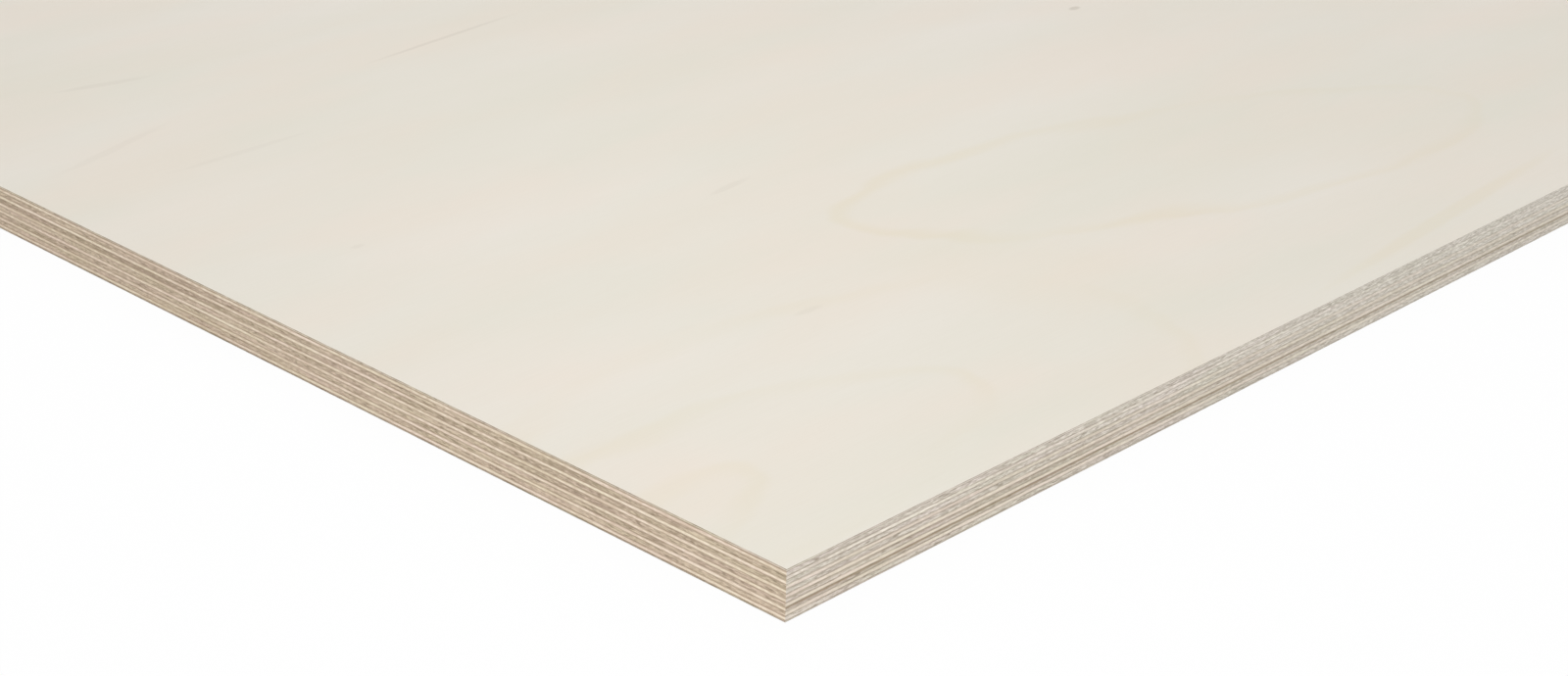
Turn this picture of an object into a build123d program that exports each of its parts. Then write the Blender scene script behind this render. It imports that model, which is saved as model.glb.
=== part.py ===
"""A full sheet of sanded birch plywood: thirteen rotary-cut veneers, cross-banded, hot-pressed and sawn square.

Millimetres. The sheet lies flat, with its origin under the middle of the back veneer and +Z up through the plies.
The face grain runs along X, and every second ply is turned to run along Y.
"""

import os

from build123d import *

# Driving dimensions
sheet_length = 2500.0  # along X, the way the face grain runs
sheet_width = 1250.0  # along Y, across the face grain
ply_count = 13  # odd, so that the lay-up is balanced about its middle ply
inner_ply = 1.52  # one veneer as it comes out of the hot press
outer_ply = 0.64  # face and back veneer, thinned when the pressed sheet is sanded
sanded_arris = 0.2  # radius that sanding leaves around the face and the back


def ply_name(number):
    """Trade name of a ply, counted from the back: even plies run across the sheet, inner odd ones along it."""
    if number == 1:
        return "back_veneer"
    if number == ply_count:
        return "face_veneer"
    return f"crossband_{number // 2}" if number % 2 == 0 else f"centre_ply_{number // 2}"


def outer_rim(ply, number):
    """Edges around the side of an outer ply that shows: the underside of the back, the top of the face."""
    by_height = ply.faces().sort_by(Axis.Z)
    shown = by_height[0] if number == 1 else by_height[-1]
    return shown.edges()


os.makedirs("parts", exist_ok=True)
underside = 0.0  # height at which the next ply is laid
for number in range(1, ply_count + 1):
    is_outer = number in (1, ply_count)
    thickness = outer_ply if is_outer else inner_ply
    with BuildPart() as veneer:
        with BuildSketch(Plane.XY.offset(underside)):
            Rectangle(sheet_length, sheet_width)
        extrude(amount=thickness)
        if is_outer:
            fillet(outer_rim(veneer, number), radius=sanded_arris)
    veneer.part.label = ply_name(number)
    export_step(veneer.part, f"parts/{veneer.part.label}.step")
    underside += thickness
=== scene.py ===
"""Looks of a full sheet of sanded birch plywood, lying flat on a white studio floor.

Metres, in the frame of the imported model: X runs along the sheet and its face grain, Y across it and Z up.
The sheet's corner at the lowest x and y is the near one in the photograph.
"""

import bpy
import numpy as np
from mathutils import Matrix, Vector


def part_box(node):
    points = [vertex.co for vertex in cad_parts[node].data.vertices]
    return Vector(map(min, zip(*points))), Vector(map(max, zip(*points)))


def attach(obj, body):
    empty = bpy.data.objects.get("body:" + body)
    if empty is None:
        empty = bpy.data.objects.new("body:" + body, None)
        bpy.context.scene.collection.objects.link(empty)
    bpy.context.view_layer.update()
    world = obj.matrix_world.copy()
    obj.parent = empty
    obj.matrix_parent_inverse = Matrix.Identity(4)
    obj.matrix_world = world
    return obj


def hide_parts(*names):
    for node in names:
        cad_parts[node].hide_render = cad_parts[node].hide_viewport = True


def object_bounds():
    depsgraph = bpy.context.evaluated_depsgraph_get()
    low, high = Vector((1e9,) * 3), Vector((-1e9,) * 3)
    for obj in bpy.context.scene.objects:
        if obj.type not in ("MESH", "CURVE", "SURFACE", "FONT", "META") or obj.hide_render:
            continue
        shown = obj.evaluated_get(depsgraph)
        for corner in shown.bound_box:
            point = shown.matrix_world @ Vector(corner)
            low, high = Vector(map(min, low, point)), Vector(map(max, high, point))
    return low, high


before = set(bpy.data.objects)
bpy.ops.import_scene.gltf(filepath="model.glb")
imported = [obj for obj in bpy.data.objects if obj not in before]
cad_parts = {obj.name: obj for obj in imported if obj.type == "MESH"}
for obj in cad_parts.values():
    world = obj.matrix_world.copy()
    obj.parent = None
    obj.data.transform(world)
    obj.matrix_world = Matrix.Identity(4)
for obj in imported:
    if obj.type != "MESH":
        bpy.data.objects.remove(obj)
cad_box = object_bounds()

# Crossbands
# Six inner plies of rotary-cut birch, laid with their grain across the sheet and hot-pressed with
# phenolic glue. The panel saw bares their end grain along the sheet's long edges and their long grain
# across its short ends.
mm = 0.001
long_edges = (0, 2)  # the sheet's sides, counted anticlockwise from the one at the lowest y
short_ends = (1, 3)
edge_step = 2.5 * mm  # spacing of the points around a sawn edge
cap_margin = 12 * mm  # rim of a broad face, between the fine points of its edge and its coarse cells
cap_cell = 20  # edge steps along one coarse cell
glue_groove = 0.06 * mm  # how far a ply's corners are worn back where it meets its glue line
groove_width = 0.14 * mm
saw_pitch = 9.0 * mm  # real tooth marks are about 1 mm apart, and are drawn coarser here so that they show
saw_beat = 3.7 * saw_pitch  # length of the slower wave that the blade's wobble leaves over them
saw_depth = 0.02 * mm
saw_lean = 0.35  # the blade's arc, as run along the edge for each unit of height
end_tear = 0.05 * mm  # deepest that torn end grain lies under the sawn flat
long_tear = 0.2 * end_tear  # the same for long grain
bake_strip = 250 * mm  # length of edge in one strip of the square map that the export bakes through
strip_margin = 0.003  # bare at both ends of a strip, as a share of the map's width
lane_margin = 0.05  # bare above and below a strip, as a share of its lane


def around(low, high, step):
    """Points once around a box's plan, and the way in from each, anticlockwise from the lowest corner.

    Each side is cut into equal steps. A point on a side has that side's inward normal, and a corner has the
    sum of its two sides' normals, so that a path moved in from the edge keeps square corners.
    """
    size = high[:2] - low[:2]
    count = np.round(size / step).astype(int)
    counts = [count[0], count[1], count[0], count[1]]
    starts = np.array([low[:2], (high[0], low[1]), high[:2], (low[0], high[1])])
    heading = np.array([(1.0, 0.0), (0.0, 1.0), (-1.0, 0.0), (0.0, -1.0)])
    inward = np.stack([-heading[:, 1], heading[:, 0]], axis=1)
    side = np.repeat(np.arange(4), counts)
    first = np.cumsum([0] + counts[:-1])
    along = (np.arange(len(side)) - first[side]) * step
    points = starts[side] + heading[side] * along[:, None]
    ways = inward[side]
    ways[first] += np.roll(inward, 1, axis=0)
    return points, ways, side


def saw_relief(run, height, depth, seed):
    """Depth of a sawn edge under its flat, on a grid of heights by distances around the sheet.

    Two sine waves that lean with the height are the saw's, and together they go from nothing to its depth.
    The grain adds a random share of its own depth at each point.
    """
    lean = 2 * np.pi * (run[None, :] + saw_lean * height[:, None])
    wave = (2 + np.sin(lean / saw_pitch) + np.sin(lean / saw_beat)) / 4
    torn = np.random.default_rng(seed).random((len(height), len(run)))
    return saw_depth * wave + depth[None, :] * torn


def ply_surface(low, high, rows, end_grain_sides, seed):
    """Closed plate of one ply: an edge profile carried around the sheet, with a broad face below and above.

    rows holds the profile as pairs of height above the underside and distance in from the edge. Each broad
    face is a rim of many-sided cells, one for every few edge steps, around a grid of square ones. Gives the
    points, the faces of the wall and of the rim and grid below and above, and the side of each edge step.
    """
    points, ways, side = around(low, high, edge_step)
    n = len(points)
    height, inset = np.array(rows).T
    depth = np.where(np.isin(side, end_grain_sides), end_tear, long_tear)
    inset = inset[:, None] + saw_relief(np.arange(n) * edge_step, low[2] + height, depth, seed)
    ring = np.empty((len(rows), n, 3))
    ring[..., :2] = points + ways * inset[..., None]
    ring[..., 2] = (low[2] + height)[:, None]
    level = np.arange(len(rows) - 1)[:, None] * n
    here = level + np.arange(n)
    beside = level + np.roll(np.arange(n), -1)
    faces = [np.stack([here, beside, beside + n, here + n], axis=-1).reshape(-1, 4)]
    cells = np.round((high[:2] - low[:2]) / (edge_step * cap_cell)).astype(int)
    grid_x, grid_y = np.meshgrid(
        np.linspace(low[0] + cap_margin, high[0] - cap_margin, cells[0] + 1),
        np.linspace(low[1] + cap_margin, high[1] - cap_margin, cells[1] + 1),
    )
    number = np.arange(grid_x.size).reshape(grid_x.shape)
    rim = np.concatenate([number[0, :-1], number[:-1, -1], number[-1, :0:-1], number[:0:-1, 0]])
    fine = (np.arange(len(rim))[:, None] * cap_cell + np.arange(cap_cell + 1)) % n
    corners = [number[:-1, :-1], number[:-1, 1:], number[1:, 1:], number[1:, :-1]]
    squares = np.stack(corners, axis=-1).reshape(-1, 4)
    vertices = [ring.reshape(-1, 3)]
    for base, row, z, turn in (
        (ring.size // 3, 0, low[2], -1),
        (ring.size // 3 + grid_x.size, (len(rows) - 1) * n, high[2], 1),
    ):
        vertices.append(np.column_stack([grid_x.ravel(), grid_y.ravel(), np.full(grid_x.size, z)]))
        combs = np.concatenate([fine + row, base + np.roll(rim, -1)[:, None], base + rim[:, None]], axis=1)
        faces += [combs[:, ::turn], (base + squares)[:, ::turn]]
    return np.concatenate(vertices), faces, side


def bake_map(vertices, faces, rows, steps, low, high, bake):
    """Place of each face corner in the square map that the export bakes through.

    The edge is cut into strips of one length, laid in lanes one above the other, and each broad face is its
    own plan. bake holds the lowest and highest place of the lanes, and two corners of each plan's area.
    """
    strip = round(bake_strip / edge_step)
    step = np.arange(steps)[None, :, None]
    column = (step % strip + np.array([0, 1, 1, 0])) / strip
    height = np.array(rows)[:, 0]
    share = (height - height[0]) / np.ptp(height)
    line = np.stack([share[:-1], share[:-1], share[1:], share[1:]], axis=-1)[:, None, :]
    lane = (step // strip + lane_margin + (1 - 2 * lane_margin) * line) / (steps // strip)
    low_lane, high_lane = bake["edge"]
    u = strip_margin + (1 - 2 * strip_margin) * column
    v = low_lane + (high_lane - low_lane) * lane
    areas = [np.stack(np.broadcast_arrays(u, v), axis=-1).reshape(-1, 2)]
    broad = faces[1:]
    for key, (combs, squares) in (("under", broad[:2]), ("top", broad[2:])):
        corners = np.concatenate([combs.ravel(), squares.ravel()])
        plan = (vertices[corners, :2] - low[:2]) / (high[:2] - low[:2])
        corner, far = np.array(bake[key])
        areas.append(corner + (far - corner) * plan)
    return np.concatenate(areas)


def ply_mesh(name, node, rows, end_grain_sides, seed, traits, bake):
    """One ply as an object in its node's box, with a material slot for each kind of face.

    The slots are the long edges, the short ends, the underside and the top. Each point keeps its height
    across the ply from 0 to 1, the ply's number and its traits, for the materials to read.
    """
    low, high = (np.array(corner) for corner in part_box(node))
    vertices, faces, side = ply_surface(low, high, rows, end_grain_sides, seed)
    mesh = bpy.data.meshes.new(name)
    mesh.from_pydata(vertices.tolist(), [], sum((part.tolist() for part in faces), []))
    cap_faces = len(faces[-2]) + len(faces[-1])
    walls = np.tile(side % 2, len(rows) - 1)
    slots = np.concatenate([walls, np.full(cap_faces, 2), np.full(cap_faces, 3)])
    mesh.polygons.foreach_set("material_index", slots.astype(np.int32))
    across = np.clip((vertices[:, 2] - low[2]) / (high[2] - low[2]), 0.0, 1.0)
    for key, value in {"across": across, "ply": float(seed), **traits}.items():
        values = np.broadcast_to(value, len(vertices)).astype(np.float32)
        mesh.attributes.new(key, "FLOAT", "POINT").data.foreach_set("value", values)
    uv = bake_map(vertices, faces, rows, len(side), low, high, bake)
    mesh.uv_layers.new(name="OFBake").data.foreach_set("uv", uv.ravel())
    mesh.validate()
    piece = bpy.data.objects.new(name, mesh)
    bpy.context.scene.collection.objects.link(piece)
    return piece


def linear(code):
    """Linear red, green, blue and alpha of an sRGB hex colour, by the sRGB curve."""
    srgb = np.array([int(code[i : i + 2], 16) for i in (1, 3, 5)]) / 255
    rgb = np.where(srgb <= 0.04045, srgb / 12.92, ((srgb + 0.055) / 1.055) ** 2.4)
    return (*rgb.tolist(), 1.0)


def wire(tree, node, inputs):
    """Sets a node's inputs, by name or number: each to a value, or linked to a socket or another node."""
    for key, value in inputs.items():
        named = (socket for socket in node.inputs if socket.enabled and socket.name == key)
        target = node.inputs[key] if isinstance(key, int) else next(named)
        if isinstance(value, bpy.types.Node):
            value = next(socket for socket in value.outputs if socket.enabled)
        if isinstance(value, bpy.types.NodeSocket):
            tree.links.new(value, target)
        else:
            target.default_value = value


def add_node(tree, kind, inputs=None, **settings):
    """A new node with its settings and its inputs."""
    node = tree.nodes.new(kind)
    for key, value in settings.items():
        setattr(node, key, value)
    wire(tree, node, inputs or {})
    return node


def new_material(name):
    """A node material, the Principled shader that it starts with, and its node tree."""
    material = bpy.data.materials.new(name)
    material.use_nodes = True
    return material, material.node_tree.nodes["Principled BSDF"], material.node_tree


# Sizes of sawn wood's patterns in millimetres, along the edge, from ply to ply and across it, and detail.
# Real pores are under a tenth of a millimetre wide, and fibres are finer. Both are drawn coarser, to show.
edge_patterns = {
    "drift": ((70.0, 1.0, 20.0), 2.0),
    "hue": ((30.0, 1.0, 1.6), 1.0),
    "pores": ((2.5, 1.0, 0.36), 2.0),
    "glue": ((9.0, 1.0, 1.5), 3.0),
    "specks": ((4.0, 1.0, 0.6), 1.0),
}
end_fibre = ((10.0, 1.0, 0.42), 3.0)
long_fibre = ((26.0, 1.0, 0.42), 3.0)
ply_step = 7.31  # from one ply to the next through the patterns, so that no two are alike
most_noise = (0.35, 0.65)  # the range that most of a random pattern keeps to
wide_noise = (0.3, 0.7)  # and the range that nearly all of it keeps to
drift_weight = 1.5  # in a ply's tone, next to its fibres
pore_weight = 2.9
tone_range = (2.25, 3.15)  # of the weighted sum, from the deepest wood to the palest
heart_brown = "#9C8971"  # wood from near the middle of the log, on its end grain
heart_cream = "#E2D3BF"  # the same on its long grain
heart_rise = (0.35, 0.8)  # heights across the ply between which end grain turns fully to heartwood
heart_least = 0.35  # the part of the heartwood's share that shows below them
heart_clean = 0.8  # the part of the sawdust that heartwood sheds
speck_brown = "#75654F"  # resin and torn pores
speck_range = (0.58, 0.74)
speck_most = 0.6
hues = {"X": ("#FFFAF9", "#FCFDF5"), "Y": ("#FFFAFA", "#FCFDF4")}  # slight pink and olive, by turns
film_drift = 820.0  # millimetres from one clean stretch of an edge to the next, from the near corner on
# Pale and deep colour of what lies over the sawn wood, grey dust on long edges and a painted shade on short
# ends that deepens them away from the near corner, where the light falls off, and the most of the wood
# that it hides, halfway between the clean stretches.
dust_and_painted_shade = {"X": ("#E4E0D6", "#B1ACA0", 0.62), "Y": ("#9C876C", "#6E5B45", 0.1)}
edge_roughness = (0.65, 0.85)
pore_depth = 0.05 * mm
pore_bump = 0.5


def wood_patterns(tree, spot, patterns):
    """The wood's random patterns by name: noise, stretched to its own sizes along the axes of the spot."""
    noise = {}
    for kind, (sizes, detail) in patterns.items():
        stretch = [1 / size for size in sizes]
        at = add_node(tree, "ShaderNodeVectorMath", {0: spot, 1: stretch}, operation="MULTIPLY")
        noise[kind] = add_node(tree, "ShaderNodeTexNoise", {"Vector": at, "Scale": 1.0, "Detail": detail})
    return noise


def heart_share(tree, across, end_grain):
    """Share of heartwood in a ply's long edge, which end grain only shows in full in its upper part."""
    heart = add_node(tree, "ShaderNodeAttribute", attribute_name="heart").outputs["Fac"]
    if not end_grain:
        return heart
    low, high = heart_rise
    upper = add_node(
        tree,
        "ShaderNodeMapRange",
        {"Value": across, "From Min": low, "From Max": high, "To Min": heart_least, "To Max": 1.0},
        interpolation_type="SMOOTHSTEP",
    )
    return add_node(tree, "ShaderNodeMath", {0: upper, 1: heart}, operation="MULTIPLY")


def edge_wood(tree, noise, axis, end_grain, pale, deep, heart):
    """Colour of clean sawn wood: a tone between deep and pale, then heartwood, specks and a slight hue.

    The tone is the weighted sum of the drift, the fibres and the pores, and of the ply's own shade.
    """
    tone = add_node(
        tree,
        "ShaderNodeMath",
        {0: noise["drift"], 1: drift_weight, 2: noise["fibre"]},
        operation="MULTIPLY_ADD",
    )
    tone = add_node(
        tree, "ShaderNodeMath", {0: noise["pores"], 1: pore_weight, 2: tone}, operation="MULTIPLY_ADD"
    )
    shade = add_node(tree, "ShaderNodeAttribute", attribute_name="shade").outputs["Fac"]
    tone = add_node(tree, "ShaderNodeMath", {0: tone, 1: shade}, operation="ADD")
    low, high = tone_range
    tone = add_node(tree, "ShaderNodeMapRange", {"Value": tone, "From Min": low, "From Max": high})
    wood = add_node(
        tree, "ShaderNodeMix", {"Factor": tone, "A": linear(deep), "B": linear(pale)}, data_type="RGBA"
    )
    if heart is not None:
        core = linear(heart_brown if end_grain else heart_cream)
        wood = add_node(tree, "ShaderNodeMix", {"Factor": heart, "A": wood, "B": core}, data_type="RGBA")
    if end_grain:
        low, high = speck_range
        speck = add_node(
            tree,
            "ShaderNodeMapRange",
            {"Value": noise["specks"], "From Min": low, "From Max": high, "To Max": speck_most},
            interpolation_type="SMOOTHSTEP",
        )
        dark = linear(speck_brown)
        wood = add_node(tree, "ShaderNodeMix", {"Factor": speck, "A": wood, "B": dark}, data_type="RGBA")
    low, high = most_noise
    shift = add_node(tree, "ShaderNodeMapRange", {"Value": noise["hue"], "From Min": low, "From Max": high})
    pink, olive = (linear(code) for code in hues[axis])
    tint = add_node(tree, "ShaderNodeMix", {"Factor": shift, "A": pink, "B": olive}, data_type="RGBA")
    return add_node(
        tree,
        "ShaderNodeMix",
        {"Factor": 1.0, "A": wood, "B": tint},
        data_type="RGBA",
        blend_type="MULTIPLY",
    )


def glue_stain(tree, noise, across, film, reach, share):
    """Share of the wood that glue hides: most in the film at both faces of the ply, none beyond its reach.

    film and reach are shares of the ply. So is the depth in, half the ply less the distance to its middle.
    """
    middle = add_node(tree, "ShaderNodeMath", {0: across, 1: 0.5}, operation="SUBTRACT")
    middle = add_node(tree, "ShaderNodeMath", {0: middle}, operation="ABSOLUTE")
    inside = add_node(tree, "ShaderNodeMath", {0: 0.5, 1: middle}, operation="SUBTRACT")
    soak = add_node(
        tree,
        "ShaderNodeMapRange",
        {"Value": inside, "From Min": film, "From Max": reach, "To Min": 1.0, "To Max": 0.0},
        interpolation_type="SMOOTHSTEP",
    )
    low, high = most_noise
    patchy = add_node(
        tree,
        "ShaderNodeMapRange",
        {"Value": noise["glue"], "From Min": low, "From Max": high, "To Min": share[0], "To Max": share[1]},
    )
    return add_node(tree, "ShaderNodeMath", {0: soak, 1: patchy}, operation="MULTIPLY", use_clamp=True)


def lay_dust_and_shade(tree, noise, axis, run, colour, heart):
    """Colour with grey dust laid over it on long edges and a painted shade on short ends, as much as a
    cosine along the edge says.

    It is nothing at the near corner and most half a drift away, and heartwood sheds the greater part of the
    dust.
    """
    pale, deep, most = dust_and_painted_shade[axis]
    corner = cad_box[0]["XY".index(axis)] / mm
    turn = add_node(
        tree,
        "ShaderNodeMath",
        {0: run, 1: 2 * np.pi / film_drift, 2: 2 * np.pi * -corner / film_drift},
        operation="MULTIPLY_ADD",
    )
    wave = add_node(tree, "ShaderNodeMath", {0: turn}, operation="COSINE")
    cover = add_node(
        tree, "ShaderNodeMapRange", {"Value": wave, "From Min": 1.0, "From Max": -1.0, "To Max": most}
    )
    if heart is not None:
        bare = add_node(
            tree, "ShaderNodeMath", {0: heart, 1: -heart_clean, 2: 1.0}, operation="MULTIPLY_ADD"
        )
        cover = add_node(tree, "ShaderNodeMath", {0: cover, 1: bare}, operation="MULTIPLY")
    low, high = most_noise
    grains = add_node(
        tree, "ShaderNodeMapRange", {"Value": noise["pores"], "From Min": low, "From Max": high}
    )
    layer = add_node(
        tree, "ShaderNodeMix", {"Factor": grains, "A": linear(deep), "B": linear(pale)}, data_type="RGBA"
    )
    return add_node(tree, "ShaderNodeMix", {"Factor": cover, "A": colour, "B": layer}, data_type="RGBA")


def sawn_edge(name, axis, end_grain, pale, deep, glue, film, reach, share, thickness):
    """Sawn birch on the edge of a ply, with the phenolic glue that soaks in from both of its faces.

    axis is the way along the edge. The glue is as dark as it gets over the film's depth and gone at its
    reach, in millimetres, and share is the least and the most that it hides of the wood. End grain has
    dark specks, and long edges show the heartwood. The pores pit the wood and break its sheen.
    """
    material, shader, tree = new_material(name)
    place = add_node(tree, "ShaderNodeTexCoord").outputs["Object"]
    parts = add_node(tree, "ShaderNodeSeparateXYZ", {0: place})
    ply = add_node(tree, "ShaderNodeAttribute", attribute_name="ply").outputs["Fac"]
    across = add_node(tree, "ShaderNodeAttribute", attribute_name="across").outputs["Fac"]
    layer = add_node(tree, "ShaderNodeMath", {0: ply, 1: ply_step}, operation="MULTIPLY")
    run = add_node(tree, "ShaderNodeMath", {0: parts.outputs[axis], 1: 1 / mm}, operation="MULTIPLY")
    rise = add_node(tree, "ShaderNodeMath", {0: parts.outputs["Z"], 1: 1 / mm}, operation="MULTIPLY")
    spot = add_node(tree, "ShaderNodeCombineXYZ", {0: run, 1: layer, 2: rise})
    fibre = end_fibre if end_grain else long_fibre
    noise = wood_patterns(tree, spot, {**edge_patterns, "fibre": fibre})
    heart = heart_share(tree, across, end_grain) if axis == "X" else None
    wood = edge_wood(tree, noise, axis, end_grain, pale, deep, heart)
    stain = glue_stain(tree, noise, across, film / thickness, reach / thickness, share)
    wood = add_node(
        tree, "ShaderNodeMix", {"Factor": stain, "A": wood, "B": linear(glue)}, data_type="RGBA"
    )
    # Dust on the long edges, and painted shade deepening the short ends away from the near corner.
    wood = lay_dust_and_shade(tree, noise, axis, run, wood, heart)
    low, high = wide_noise
    smooth, dull = edge_roughness
    rough = add_node(
        tree,
        "ShaderNodeMapRange",
        {"Value": noise["pores"], "From Min": low, "From Max": high, "To Min": smooth, "To Max": dull},
    )
    bump = add_node(
        tree, "ShaderNodeBump", {"Height": noise["pores"], "Distance": pore_depth, "Strength": pore_bump}
    )
    wire(tree, shader, {"Base Color": wood, "Roughness": rough, "Normal": bump})
    return material


inner_low, inner_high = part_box("crossband_1")
inner_thickness = (inner_high[2] - inner_low[2]) / mm
inner_rows = [
    (0.0, glue_groove),
    (groove_width, 0.0),
    (0.5 * inner_thickness * mm, 0.0),
    (inner_thickness * mm - groove_width, 0.0),
    (inner_thickness * mm, glue_groove),
]
inner_bake = {  # parts of the bake map, most of it for the sawn edge and little for the two glued faces
    "edge": (0.0, 0.9),
    "under": ((0.0, 0.91), (0.49, 1.0)),
    "top": ((0.51, 0.91), (1.0, 1.0)),
}
# Peeled birch under a film of cured phenolic glue: brown blotches with a low sheen, out of sight here.
peeled_birch = "#C9AE88"
phenolic_brown = "#7A5A3E"
glue_blotch = 40 * mm
blotch_detail = 3.0
glue_roughness = 0.5
glued_face, glued_shader, glued_tree = new_material("glued_birch_veneer")
glued_place = add_node(glued_tree, "ShaderNodeTexCoord").outputs["Object"]
blotches = add_node(
    glued_tree,
    "ShaderNodeTexNoise",
    {"Vector": glued_place, "Scale": 1 / glue_blotch, "Detail": blotch_detail},
)
glued_colour = add_node(
    glued_tree,
    "ShaderNodeMix",
    {"Factor": blotches, "A": linear(peeled_birch), "B": linear(phenolic_brown)},
    data_type="RGBA",
)
wire(glued_tree, glued_shader, {"Base Color": glued_colour, "Roughness": glue_roughness})
# Birch end grain under grey sawdust: dull and speckled, and brown where a veneer comes from the heart.
crossband_long_edge = sawn_edge(
    "sawn_birch_end_grain_greyed",
    "X",
    end_grain=True,
    pale="#E8E1D9",
    deep="#BAB1A6",
    glue="#706250",
    film=0.1,
    reach=0.26,
    share=(0.05, 0.55),
    thickness=inner_thickness,
)
# Birch long grain, cleanly cut: the palest lines on the short ends, creamy and soft between tan glue lines.
# A painted shade deepens it away from the near corner.
crossband_short_end = sawn_edge(
    "sawn_birch_long_grain_warm",
    "Y",
    end_grain=False,
    pale="#FBEEDD",
    deep="#DDCBB6",
    glue="#B09A82",
    film=0.18,
    reach=0.52,
    share=(0.6, 1.0),
    thickness=inner_thickness,
)
crossband_traits = {  # share of heartwood in each veneer, and how much paler or deeper it is than the rest
    "crossband_1": {"heart": 0.15, "shade": 0.08},
    "crossband_2": {"heart": 0.9, "shade": 0.06},
    "crossband_3": {"heart": 0.55, "shade": 0.1},
    "crossband_4": {"heart": 0.0, "shade": -0.04},
    "crossband_5": {"heart": 0.0, "shade": 0.02},
    "crossband_6": {"heart": 0.0, "shade": -0.02},
}
crossbands = sorted(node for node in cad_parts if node.startswith("crossband"))
for count, node in enumerate(crossbands, start=1):
    number = 2 * count  # of the ply, counted from the back
    ply = ply_mesh(f"{node}_sawn", node, inner_rows, long_edges, number, crossband_traits[node], inner_bake)
    for material in (crossband_long_edge, crossband_short_end, glued_face, glued_face):
        ply.data.materials.append(material)
    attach(ply, "root")
    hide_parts(node)

# Centre plies
# Five inner plies of the same peeled birch, turned to run along the sheet between the crossbands.
# Their end grain shows on the short ends and their long grain along the long edges.

# Birch long grain, a little dusty: pale and even, the light lines between the crossbands on the long edges.
centre_long_edge = sawn_edge(
    "sawn_birch_long_grain_greyed",
    "X",
    end_grain=False,
    pale="#F4EDE4",
    deep="#D0C6BB",
    glue="#9A8D7B",
    film=0.16,
    reach=0.5,
    share=(0.3, 0.9),
    thickness=inner_thickness,
)
# Birch end grain, clean of dust: warm tan with dark specks, the deeper lines on the short ends.
# A painted shade deepens it away from the near corner.
centre_short_end = sawn_edge(
    "sawn_birch_end_grain_warm",
    "Y",
    end_grain=True,
    pale="#E1D0BC",
    deep="#AC9A86",
    glue="#756149",
    film=0.1,
    reach=0.3,
    share=(0.0, 0.5),
    thickness=inner_thickness,
)
centre_traits = {
    "centre_ply_1": {"heart": 0.35, "shade": 0.2},
    "centre_ply_2": {"heart": 0.5, "shade": 0.1},
    "centre_ply_3": {"heart": 0.45, "shade": 0.16},
    "centre_ply_4": {"heart": 0.3, "shade": -0.22},
    "centre_ply_5": {"heart": 0.0, "shade": 0.0},
}
centre_plies = sorted(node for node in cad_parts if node.startswith("centre_ply"))
for count, node in enumerate(centre_plies, start=1):
    number = 2 * count + 1
    ply = ply_mesh(f"{node}_sawn", node, inner_rows, short_ends, number, centre_traits[node], inner_bake)
    for material in (centre_long_edge, centre_short_end, glued_face, glued_face):
        ply.data.materials.append(material)
    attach(ply, "root")
    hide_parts(node)

# Face and back veneers
# The two outer plies, their grain along the sheet, sanded thin and smooth after pressing and left bare.
# Sanding rounds the arris around the face and the back by a fifth of a millimetre.
arris = 0.2 * mm
arris_turn = np.radians([0.0, 30.0, 60.0, 90.0])
outer_low, outer_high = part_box("face_veneer")
outer_thickness = (outer_high[2] - outer_low[2]) / mm
face_rows = [(0.0, glue_groove), (groove_width, 0.0)] + [
    (outer_thickness * mm - arris * (1 - np.sin(a)), arris * (1 - np.cos(a))) for a in arris_turn
]
back_rows = [(outer_thickness * mm - h, inset) for h, inset in reversed(face_rows)]
outer_lanes = (0.83, 0.97)  # parts of the bake map, most of it for the sanded side
sanded_area = ((0.0, 0.0), (1.0, 0.825))
glued_area = ((0.0, 0.975), (1.0, 1.0))
face_bake = {"edge": outer_lanes, "under": glued_area, "top": sanded_area}
back_bake = {"edge": outer_lanes, "under": sanded_area, "top": glued_area}
# Sizes of a sanded face's patterns in millimetres, along the grain, across it and through it, and detail.
# Real fibres are a few hundredths of a millimetre thick, and are drawn coarser here so that they show.
face_patterns = {
    "growth": ((900.0, 210.0, 1.0), 1.0),
    "wobble": ((90.0, 30.0, 1.0), 2.0),
    "strength": ((170.0, 60.0, 1.0), 1.0),
    "tone": ((330.0, 90.0, 1.0), 5.0),
    "blush": ((130.0, 50.0, 1.0), 2.0),
    "fibre": ((22.0, 0.6, 1.0), 2.0),
}
sapwood_cool = "#E3DFD1"
sapwood_warm = "#EAE4DA"
sapwood_blush = "#ECDFD1"
late_wood = "#DFD0A6"
fibre_tan = "#CDBFA8"
fleck_brown = "#9A8C76"
stain_blush = "#EEDECE"
blush_range = (0.4, 0.65)
blush_most = 0.42
fibre_most = 0.07
face_roughness = (0.55, 0.65)
fibre_depth = 0.01 * mm
fibre_bump = 0.4
growth_rings = 4.0  # from the lowest to the highest of the growth pattern
growth_wobble = 0.3  # how far the wobble moves a ring, as a part of the way to the next
late_start = 0.8  # the part of the way to the next ring where late wood sets in
late_peak = 0.97  # and where it is deepest
ring_share = (0.05, 0.3)  # least and most of a late-wood ring's colour that shows
ring_clear = (350.0, 650.0)  # the random rings set in between these distances from the drawn ones
drawn_middle = (260.0, 230.0, 0.0)
drawn_range = (0.35, 0.6)  # of the strength pattern, from a drawn ring's faintest to its full strength
drawn_least = 0.1
drawn_sway = 14.0
drawn_fades = (5.0, 9.0)  # how far a drawn ring's line fades out, outside and inside it
drawn_rings = (  # centre, half-length and half-width, tilt and strength of the rings about the near corner
    ((12.0, 51.0), (129.0, 44.0), 0.0, 0.14),
    ((-12.0, 40.0), (50.0, 17.0), np.radians(14.0), 0.18),
    ((85.0, 52.0), (145.0, 85.0), 0.0, 0.12),
    ((357.0, 124.0), (156.0, 51.0), np.radians(-17.0), 0.19),
)
fleck_core = 0.4  # the part of a fleck's reach over which it has its full strength
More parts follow.
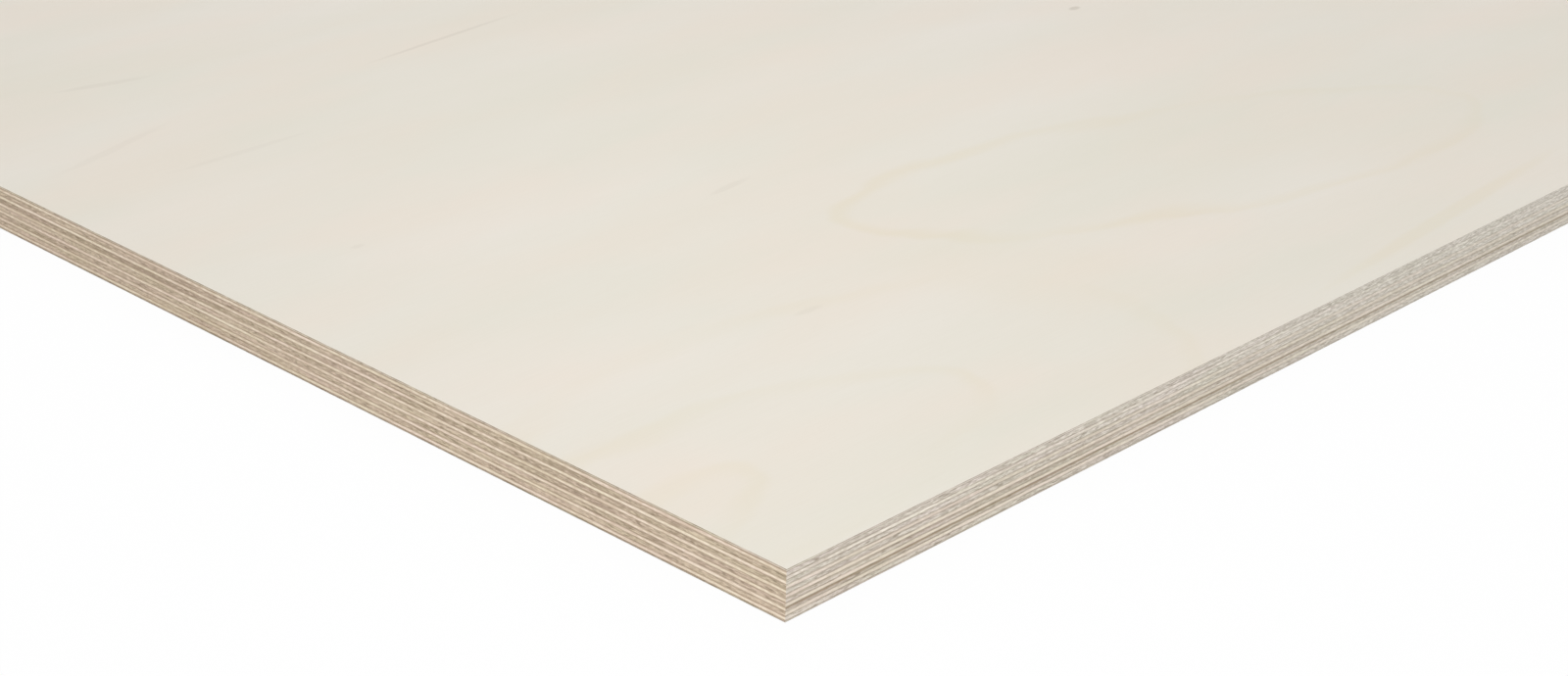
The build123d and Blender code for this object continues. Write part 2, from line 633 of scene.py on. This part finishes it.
flecks = (  # centre, half-length and half-width, tilt, strength and colour of streaks, stains and specks
    ((12.0, 54.0), (36.0, 20.0), np.radians(10.0), 0.2, stain_blush),
    ((225.0, 92.0), (75.0, 42.0), np.radians(-60.0), 0.06, late_wood),
    ((386.0, 16.0), (115.0, 5.0), np.radians(5.0), 0.16, late_wood),
    ((237.0, 432.0), (54.0, 1.6), np.radians(5.0), 0.14, fleck_brown),
    ((478.0, 271.0), (4.5, 2.6), 0.0, 0.3, fleck_brown),
    ((53.0, 416.0), (42.0, 3.0), np.radians(16.0), 0.05, fleck_brown),
    ((88.0, 380.0), (40.0, 2.5), 0.0, 0.05, fleck_brown),
    ((94.0, 481.0), (26.0, 3.0), np.radians(-13.0), 0.08, fleck_brown),
    ((204.0, 224.0), (16.0, 2.4), np.radians(7.0), 0.07, fleck_brown),
    ((141.0, 123.0), (9.0, 2.4), np.radians(-2.0), 0.07, fleck_brown),
    ((62.0, 275.0), (4.0, 2.0), 0.0, 0.07, fleck_brown),
)


def random_rings(tree, noise):
    """Strength of the late wood in random rings, which are contour lines of the growth pattern.

    The fractional part of the pattern, as a number of rings, says how far a place is on the way to the next
    ring. Late wood darkens slowly to its peak and breaks off where the next year's wood begins.
    """
    growth = add_node(tree, "ShaderNodeMath", {0: noise["growth"], 1: growth_rings}, operation="MULTIPLY")
    growth = add_node(
        tree, "ShaderNodeMath", {0: noise["wobble"], 1: growth_wobble, 2: growth}, operation="MULTIPLY_ADD"
    )
    ring = add_node(tree, "ShaderNodeMath", {0: growth}, operation="FRACT")
    rise, fall = (
        add_node(
            tree,
            "ShaderNodeMapRange",
            {"Value": ring, "From Min": start, "From Max": late_peak},
            interpolation_type="SMOOTHSTEP",
        )
        for start in (late_start, 1.0)
    )
    line = add_node(tree, "ShaderNodeMath", {0: rise, 1: fall}, operation="MULTIPLY")
    low, high = most_noise
    least, most = ring_share
    strength = add_node(
        tree,
        "ShaderNodeMapRange",
        {"Value": noise["strength"], "From Min": low, "From Max": high, "To Min": least, "To Max": most},
    )
    return add_node(tree, "ShaderNodeMath", {0: line, 1: strength}, operation="MULTIPLY")


def ellipse_reach(tree, spot, centre, half, tilt):
    """The spot in an ellipse's own axes, as shares of its half-length and half-width, and its distance out.

    The distance is the length of those shares: nothing at the centre and 1 on the ellipse.
    """
    axes = {"Location": (*centre, 0.0), "Rotation": (0.0, 0.0, tilt), "Scale": (*half, 1.0)}
    at = add_node(tree, "ShaderNodeMapping", {"Vector": spot, **axes}, vector_type="TEXTURE")
    return at, add_node(tree, "ShaderNodeVectorMath", {0: at}, operation="LENGTH").outputs["Value"]


def drawn_ring(tree, spot, sway, centre, half, tilt, strength):
    """Strength of the late wood in a ring drawn as an ellipse, by a line of one width that fades both ways.

    The distance from the line in millimetres is the distance out less 1, over how fast that grows there:
    the length of the spot's shares over the half-sizes, over the distance out. A random sway is added.
    """
    at, out = ellipse_reach(tree, spot, centre, half, tilt)
    steep = add_node(
        tree, "ShaderNodeVectorMath", {0: at, 1: (1 / half[0], 1 / half[1], 0.0)}, operation="MULTIPLY"
    )
    steep = add_node(tree, "ShaderNodeVectorMath", {0: steep}, operation="LENGTH").outputs["Value"]
    reach = add_node(tree, "ShaderNodeMath", {0: out, 1: steep}, operation="DIVIDE")
    off = add_node(tree, "ShaderNodeMath", {0: out, 1: 1.0}, operation="SUBTRACT")
    off = add_node(tree, "ShaderNodeMath", {0: off, 1: reach, 2: sway}, operation="MULTIPLY_ADD")
    outside, inside = drawn_fades
    rise, fall = (
        add_node(
            tree,
            "ShaderNodeMapRange",
            {"Value": off, "From Min": start, "From Max": 0.0, "To Max": most},
            interpolation_type="SMOOTHSTEP",
        )
        for start, most in ((outside, 1.0), (-inside, strength))
    )
    return add_node(tree, "ShaderNodeMath", {0: rise, 1: fall}, operation="MULTIPLY")


def sanded_face(name, offset, rings, streaks):
    """Sanded rotary-cut birch: nearly white sapwood with faint growth rings, fine fibres and a few flecks.

    The spot is in millimetres, from where the offset puts its origin. Drawn rings take the place of the
    random ones around them, and each streak is an ellipse that fades out to its edge.
    """
    material, shader, tree = new_material(name)
    place = add_node(tree, "ShaderNodeTexCoord").outputs["Object"]
    to_mm = (1 / mm, 1 / mm, 0.0)
    spot = add_node(
        tree, "ShaderNodeVectorMath", {0: place, 1: to_mm, 2: offset}, operation="MULTIPLY_ADD"
    )
    noise = wood_patterns(tree, spot, face_patterns)
    line = random_rings(tree, noise)
    if rings:
        away = add_node(tree, "ShaderNodeVectorMath", {0: spot, 1: drawn_middle}, operation="DISTANCE")
        near, far = ring_clear
        clear = add_node(
            tree,
            "ShaderNodeMapRange",
            {"Value": away.outputs["Value"], "From Min": near, "From Max": far},
            interpolation_type="SMOOTHSTEP",
        )
        line = add_node(tree, "ShaderNodeMath", {0: line, 1: clear}, operation="MULTIPLY")
        low, high = drawn_range
        patchy = add_node(
            tree,
            "ShaderNodeMapRange",
            {"Value": noise["strength"], "From Min": low, "From Max": high, "To Min": drawn_least},
        )
        sway = add_node(
            tree,
            "ShaderNodeMapRange",
            {"Value": noise["wobble"], "To Min": -drawn_sway, "To Max": drawn_sway},
        )
    for centre, half, tilt, strength in rings:
        curve = drawn_ring(tree, spot, sway, centre, half, tilt, strength)
        line = add_node(tree, "ShaderNodeMath", {0: curve, 1: patchy, 2: line}, operation="MULTIPLY_ADD")
    low, high = wide_noise
    tone = add_node(tree, "ShaderNodeMapRange", {"Value": noise["tone"], "From Min": low, "From Max": high})
    pull = add_node(
        tree,
        "ShaderNodeMapRange",
        {"Value": noise["fibre"], "From Min": low, "From Max": high, "To Min": fibre_most, "To Max": 0.0},
    )
    smooth, dull = face_roughness
    rough = add_node(
        tree,
        "ShaderNodeMapRange",
        {"Value": noise["fibre"], "From Min": low, "From Max": high, "To Min": smooth, "To Max": dull},
    )
    low, high = blush_range
    blush = add_node(
        tree,
        "ShaderNodeMapRange",
        {"Value": noise["blush"], "From Min": low, "From Max": high, "To Max": blush_most},
    )
    layers = [(tone, sapwood_warm), (blush, sapwood_blush), (line, late_wood), (pull, fibre_tan)]
    for centre, half, tilt, strength, shade in streaks:
        _, out = ellipse_reach(tree, spot, centre, half, tilt)
        mark = add_node(
            tree,
            "ShaderNodeMapRange",
            {"Value": out, "From Min": 1.0, "From Max": fleck_core, "To Max": strength},
            interpolation_type="SMOOTHSTEP",
        )
        layers.append((mark, shade))
    wood = linear(sapwood_cool)
    for share, shade in layers:
        blend = {"Factor": share, "A": wood, "B": linear(shade)}
        wood = add_node(tree, "ShaderNodeMix", blend, data_type="RGBA")
    bump = add_node(
        tree, "ShaderNodeBump", {"Height": noise["fibre"], "Distance": fibre_depth, "Strength": fibre_bump}
    )
    wire(tree, shader, {"Base Color": wood, "Roughness": rough, "Normal": bump})
    return material


# Sanded birch, bare of any finish: nearly white and dull, with a faint warm figure and a few brown marks.
near_corner = (-cad_box[0][0] / mm, -cad_box[0][1] / mm, 0.0)
face_birch = sanded_face("sanded_birch_face", near_corner, drawn_rings, flecks)
# The same wood from further along the log, with random rings alone.
back_offset = (9000.0, 5000.0, 0.0)
back_birch = sanded_face("sanded_birch_back", back_offset, (), ())
# Sawn birch again, in the thin rims of the two: pale and even on the face, partly a painted highlight of
# its arris, and deeper on the back, a painted shadow where the sheet lies on the floor.
outer_film = 0.08
outer_share = (0.2, 0.8)
outer_edges = {}
for side, name, axis, pale, deep, glue, reach in (
    # The face's rims are paler partly by a painted highlight along the sanded arris.
    ("face_long", "sanded_face_veneer_long_grain_with_painted_highlight", "X", "#E2DBD1", "#CBC2B7", "#7C6E5C", 0.22),
    ("face_short", "sanded_face_veneer_end_grain_with_painted_highlight", "Y", "#E4D9C9", "#CEC1AF", "#756149", 0.26),
    # The back's rims are deeper by a painted shadow along the floor under the sheet.
    ("back_long", "sanded_back_veneer_long_grain_with_painted_shadow", "X", "#CFC7BC", "#B3AA9E", "#7C6E5C", 0.22),
    ("back_short", "sanded_back_veneer_end_grain_with_painted_shadow", "Y", "#CBBFAF", "#AC9F8E", "#756149", 0.26),
):
    outer_edges[side] = sawn_edge(
        name,
        axis,
        end_grain=axis == "Y",
        pale=pale,
        deep=deep,
        glue=glue,
        film=outer_film,
        reach=reach,
        share=outer_share,
        thickness=outer_thickness,
    )
outer_traits = {"heart": 0.0, "shade": 0.0}
back_number = 1
face_number = back_number + len(crossbands) + len(centre_plies) + 1
outer_plies = (
    ("back_veneer", "back", back_rows, back_bake, (back_birch, glued_face), back_number),
    ("face_veneer", "face", face_rows, face_bake, (glued_face, face_birch), face_number),
)
for node, side, rows, bake, broad_faces, number in outer_plies:
    ply = ply_mesh(f"{node}_sanded", node, rows, short_ends, number, outer_traits, bake)
    for material in (outer_edges[f"{side}_long"], outer_edges[f"{side}_short"]) + broad_faces:
        ply.data.materials.append(material)
    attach(ply, "root")
    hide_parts(node)

# Studio floor
# A seamless sweep of white paper, laid flat under the sheet and lit up to white, so that no more than a
# faint contact shadow shows on it.
floor_reach = 60.0  # half the paper's width
floor_drop = 0.05 * mm  # keeps the paper off the sheet's own underside
backlight = 0.96  # share of the paper's white that is lit from behind
paper_white = "#F7F7F7"
light_white = "#FFFFFF"


def looked_at(tree):
    """1 for rays that look at a thing, straight, in a gloss or through glass, and 0 for the light it gives.

    It is the greatest of the three kinds of ray.
    """
    path = add_node(tree, "ShaderNodeLightPath")
    rays = {0: path.outputs["Is Camera Ray"], 1: path.outputs["Is Glossy Ray"]}
    seen = add_node(tree, "ShaderNodeMath", rays, operation="MAXIMUM")
    rays = {0: seen, 1: path.outputs["Is Transmission Ray"]}
    return add_node(tree, "ShaderNodeMath", rays, operation="MAXIMUM")


floor_mesh = bpy.data.meshes.new("paper_sweep")
floor_corners = floor_reach * np.array([(-1, -1, 0), (1, -1, 0), (1, 1, 0), (-1, 1, 0)], float)
floor_corners[:, 2] = -floor_drop
floor_mesh.from_pydata(floor_corners.tolist(), [], [(0, 1, 2, 3)])
floor = bpy.data.objects.new("paper_sweep", floor_mesh)
bpy.context.scene.collection.objects.link(floor)
# Matt white paper, which glows to the eye and lights nothing, so that it fades into the white around it.
paper = bpy.data.materials.new("white_paper")
paper.use_nodes = True
paper.node_tree.nodes.clear()
matt = add_node(paper.node_tree, "ShaderNodeBsdfDiffuse", {"Color": linear(paper_white)})
glow = add_node(paper.node_tree, "ShaderNodeEmission", {"Color": linear(light_white), "Strength": 1.0})
seen = looked_at(paper.node_tree)
lit = add_node(paper.node_tree, "ShaderNodeMath", {0: seen, 1: backlight}, operation="MULTIPLY")
sweep = add_node(paper.node_tree, "ShaderNodeMixShader", {0: lit, 1: matt, 2: glow})
add_node(paper.node_tree, "ShaderNodeOutputMaterial", {"Surface": sweep})
floor_mesh.materials.append(paper)

# Studio light
# A white tent lights the sheet evenly from all round. A strip softbox hangs level along the diagonal over
# the near corner and lifts the face there. A square one stands low in front and fills in the sawn edges.
tent_level = 0.87
strip_place = np.array((-0.22, -0.19, 0.34))  # from the near corner, as is the other softbox
strip_heading = np.radians(45.0)
strip_turn = Matrix.Rotation(strip_heading, 3, "Z").to_euler()
strip_size = (1.6, 0.2)
strip_watts = 0.45
front_place = np.array((-0.5, -1.2, 0.3))
front_turn = Vector(front_place).to_track_quat("Z", "Y").to_euler()
front_size = (0.8, 0.8)
front_watts = 2.4
world = bpy.data.worlds.new("white_tent")
bpy.context.scene.world = world
world.use_nodes = True
world.node_tree.nodes.clear()
seen = looked_at(world.node_tree)
level = add_node(
    world.node_tree, "ShaderNodeMix", {"Factor": seen, "A": tent_level, "B": 1.0}, data_type="FLOAT"
)
tent = add_node(world.node_tree, "ShaderNodeBackground", {"Color": linear(light_white), "Strength": level})
add_node(world.node_tree, "ShaderNodeOutputWorld", {"Surface": tent})
for name, place, turn, size, watts in (
    ("strip_softbox", strip_place, strip_turn, strip_size, strip_watts),
    ("front_softbox", front_place, front_turn, front_size, front_watts),
):
    lamp = bpy.data.lights.new(name, "AREA")
    lamp.shape = "RECTANGLE"
    lamp.size, lamp.size_y = size
    lamp.energy = watts
    softbox = bpy.data.objects.new(name, lamp)
    bpy.context.scene.collection.objects.link(softbox)
    softbox.location = np.array(cad_box[0]) + place
    softbox.rotation_euler = turn

# Camera
# It stands most of a metre from the near corner, as in the photograph.
# It looks down along the sheet's diagonal, with a slight roll.
lens = 67.527  # millimetres, as is the film
film_width = 36.0
camera_place = np.array((-0.55684, -0.51212, 0.44029))  # from the near corner's foot
azimuth, elevation, roll = np.radians((-47.187, 24.667, 1.666))
camera_data = bpy.data.cameras.new("camera")
camera_data.sensor_width = film_width
camera_data.lens = lens
camera = bpy.data.objects.new("camera", camera_data)
bpy.context.scene.collection.objects.link(camera)
level_back = np.array((np.sin(azimuth), -np.cos(azimuth), 0.0))
back = np.cos(elevation) * level_back + np.sin(elevation) * np.array((0.0, 0.0, 1.0))
level_right = np.cross((0.0, 0.0, 1.0), back)
level_right /= np.linalg.norm(level_right)
level_up = np.cross(back, level_right)
right = np.cos(roll) * level_right + np.sin(roll) * level_up
up = np.cos(roll) * level_up - np.sin(roll) * level_right
turn = Matrix(np.column_stack([right, up, back]).tolist()).to_4x4()
camera.matrix_world = Matrix.Translation(np.array(cad_box[0]) + camera_place) @ turn
bpy.context.scene.camera = camera
bpy.context.scene.view_settings.view_transform = "Standard"
